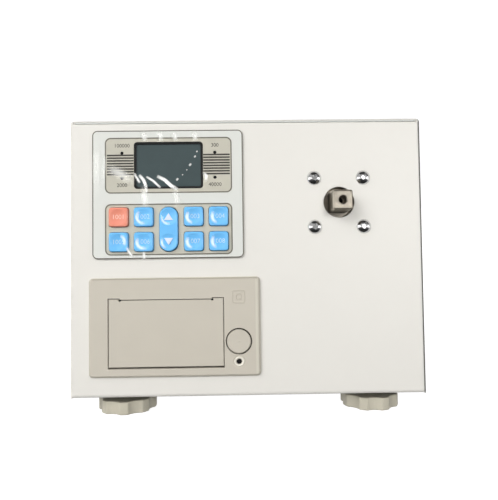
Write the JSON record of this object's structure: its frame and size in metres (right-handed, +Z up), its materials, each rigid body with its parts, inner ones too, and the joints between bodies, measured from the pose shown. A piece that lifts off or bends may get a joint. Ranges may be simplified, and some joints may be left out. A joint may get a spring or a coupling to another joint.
{
  "type": "torque tester",
  "caption": "Bench torque tester: folded sheet case on scalloped levelling feet, keypad with display, panel printer with a hinged door, and a square drive on a screwed sensor.",
  "frame": {"origin": "on the bench, at the middle of the outer box", "axes": "+Z up, -Y out of the front, +X to the right seen from the front"},
  "size_m": [0.234, 0.234, 0.1937],
  "materials": {
    "case_paint": "fine textured powder coat, warm off-white",
    "screw_steel": "bright stainless steel",
    "black_screw": "black oxide steel screws",
    "knob_plastic": "moulded beige plastic, fine grain",
    "zinc_steel": "zinc plated steel",
    "panel_plastic": "light grey moulded panel, satin",
    "field_film": "printed beige polyester label, satin",
    "window": "dark grey green display window",
    "display": "display glass in a metal frame",
    "lamp": "unlit indicator lamp",
    "board": "green solder mask",
    "switch_black": "black moulded switch",
    "key_red": "red moulded key, semi gloss",
    "key_blue": "light blue moulded key, semi gloss",
    "printer_plastic": "warm grey beige moulded plastic, fine grain",
    "rubber": "black silicone rubber",
    "gear_plastic": "natural acetal",
    "brass": "turned brass",
    "ceramic": "thermal head on its heat sink",
    "steel": "machined steel",
    "drive_steel": "ground tool steel, satin nickel",
    "bronze": "sintered bronze bush",
    "bracket_paint": "grey painted steel plate",
    "paper": "thermal paper roll",
    "battery_wrap": "blue shrink sleeve",
    "socket_black": "black moulded socket",
    "ribbon": "grey ribbon cable"
  },
  "bodies": {
    "root": {"chassis_tray": "case_paint", "cover": "case_paint", "cover_screws": "black_screw", "foot_nuts": "zinc_steel", "panel_plate": "panel_plastic", "display_label": "field_film", "key_label": "field_film", "lcd_window": "window", "lcd_module": "display", "indicator_leds": "lamp", "key_board": "board", "key_switches": "switch_black", "printer_case": "printer_plastic", "door_pin": "steel", "mech_frame": "zinc_steel", "print_head": "ceramic", "head_spring": "steel", "feed_motor": "zinc_steel", "button_spring": "steel", "printer_board": "board", "printer_led": "lamp", "sensor_body": "steel", "drive_shaft": "drive_steel", "drive_bush": "bronze", "drive_screws": "screw_steel", "reaction_bracket": "bracket_paint", "bracket_screws": "screw_steel", "main_board": "board", "board_posts": "brass", "battery_pack": "battery_wrap", "battery_clamp": "zinc_steel", "dc_jack": "socket_black", "usb_socket": "zinc_steel", "panel_ribbon": "ribbon"},
    "key_red": {"key_red": "key_red"},
    "key_top_2": {"key_top_2": "key_blue"},
    "key_top_4": {"key_top_4": "key_blue"},
    "key_top_5": {"key_top_5": "key_blue"},
    "key_low_1": {"key_low_1": "key_blue"},
    "key_low_2": {"key_low_2": "key_blue"},
    "key_low_4": {"key_low_4": "key_blue"},
    "key_low_5": {"key_low_5": "key_blue"},
    "rocker_key": {"rocker_key": "key_blue"},
    "paper_door": {"paper_door": "printer_plastic"},
    "platen": {"platen_shaft": "steel", "platen_roller": "rubber", "platen_gear": "gear_plastic"},
    "idler_gear": {"idler_gear": "gear_plastic"},
    "motor_pinion": {"motor_pinion": "brass"},
    "paper_roll": {"paper_roll": "paper"},
    "open_button": {"open_button": "printer_plastic"},
    "kick_lever": {"kick_lever": "gear_plastic"},
    "foot_fl": {"foot_knob_fl": "knob_plastic", "foot_stud_fl": "zinc_steel"},
    "foot_fr": {"foot_knob_fr": "knob_plastic", "foot_stud_fr": "zinc_steel"},
    "foot_rl": {"foot_knob_rl": "knob_plastic", "foot_stud_rl": "zinc_steel"},
    "foot_rr": {"foot_knob_rr": "knob_plastic", "foot_stud_rr": "zinc_steel"}
  },
  "joints": [
    {"name": "key_red_press", "type": "slide", "parent": "root", "child": "key_red", "axis": [0, 1, 0], "range_m": [0, 0.0006], "stiffness_N_per_m": 1500, "springref_m": -0.0004},
    {"name": "key_top_2_press", "type": "slide", "parent": "root", "child": "key_top_2", "axis": [0, 1, 0], "range_m": [0, 0.0006], "stiffness_N_per_m": 1500, "springref_m": -0.0004},
    {"name": "key_top_4_press", "type": "slide", "parent": "root", "child": "key_top_4", "axis": [0, 1, 0], "range_m": [0, 0.0006], "stiffness_N_per_m": 1500, "springref_m": -0.0004},
    {"name": "key_top_5_press", "type": "slide", "parent": "root", "child": "key_top_5", "axis": [0, 1, 0], "range_m": [0, 0.0006], "stiffness_N_per_m": 1500, "springref_m": -0.0004},
    {"name": "key_low_1_press", "type": "slide", "parent": "root", "child": "key_low_1", "axis": [0, 1, 0], "range_m": [0, 0.0006], "stiffness_N_per_m": 1500, "springref_m": -0.0004},
    {"name": "key_low_2_press", "type": "slide", "parent": "root", "child": "key_low_2", "axis": [0, 1, 0], "range_m": [0, 0.0006], "stiffness_N_per_m": 1500, "springref_m": -0.0004},
    {"name": "key_low_4_press", "type": "slide", "parent": "root", "child": "key_low_4", "axis": [0, 1, 0], "range_m": [0, 0.0006], "stiffness_N_per_m": 1500, "springref_m": -0.0004},
    {"name": "key_low_5_press", "type": "slide", "parent": "root", "child": "key_low_5", "axis": [0, 1, 0], "range_m": [0, 0.0006], "stiffness_N_per_m": 1500, "springref_m": -0.0004},
    {"name": "rocker_tilt", "type": "hinge", "parent": "root", "child": "rocker_key", "pos_m": [-0.051, -0.10035, 0.1216], "axis": [1, 0, 0], "range_deg": [-2.5, 2.5], "stiffness_Nm_per_rad": 0.15},
    {"name": "door_hinge", "type": "hinge", "parent": "root", "child": "paper_door", "pos_m": [-0.05315, -0.10405, 0.036], "axis": [1, 0, 0], "range_deg": [0, 90]},
    {"name": "platen_spin", "type": "hinge", "parent": "paper_door", "child": "platen", "pos_m": [-0.05315, -0.09505, 0.0685], "axis": [1, 0, 0], "continuous": true},
    {"name": "idler_spin", "type": "hinge", "parent": "root", "child": "idler_gear", "pos_m": [-0.05315, -0.083, 0.06516], "axis": [1, 0, 0], "continuous": true},
    {"name": "pinion_spin", "type": "hinge", "parent": "root", "child": "motor_pinion", "pos_m": [-0.05315, -0.07941, 0.07503], "axis": [1, 0, 0], "continuous": true},
    {"name": "roll_spin", "type": "hinge", "parent": "root", "child": "paper_roll", "pos_m": [-0.05315, -0.08055, 0.05], "axis": [1, 0, 0], "continuous": true},
    {"name": "button_press", "type": "slide", "parent": "root", "child": "open_button", "axis": [0, 1, 0], "range_m": [0, 0.002], "stiffness_N_per_m": 500, "springref_m": -0.001, "deforming": ["button_spring"]},
    {"name": "lever_turn", "type": "hinge", "parent": "root", "child": "kick_lever", "pos_m": [-0.05315, -0.08905, 0.058], "axis": [1, 0, 0], "range_deg": [0, 12.11]},
    {"name": "foot_fl_screw", "type": "slide", "parent": "root", "child": "foot_fl", "axis": [0, 0, -1], "range_m": [0, 0.006]},
    {"name": "foot_fr_screw", "type": "slide", "parent": "root", "child": "foot_fr", "axis": [0, 0, -1], "range_m": [0, 0.006]},
    {"name": "foot_rl_screw", "type": "slide", "parent": "root", "child": "foot_rl", "axis": [0, 0, -1], "range_m": [0, 0.006]},
    {"name": "foot_rr_screw", "type": "slide", "parent": "root", "child": "foot_rr", "axis": [0, 0, -1], "range_m": [0, 0.006]}
  ],
  "couplings": [
    {"joint": "idler_spin", "follows": "platen_spin", "ratio": -0.66667},
    {"joint": "pinion_spin", "follows": "platen_spin", "ratio": 1.6667},
    {"joint": "lever_turn", "follows": "button_press", "rad_per_m": 105.26}
  ]
}
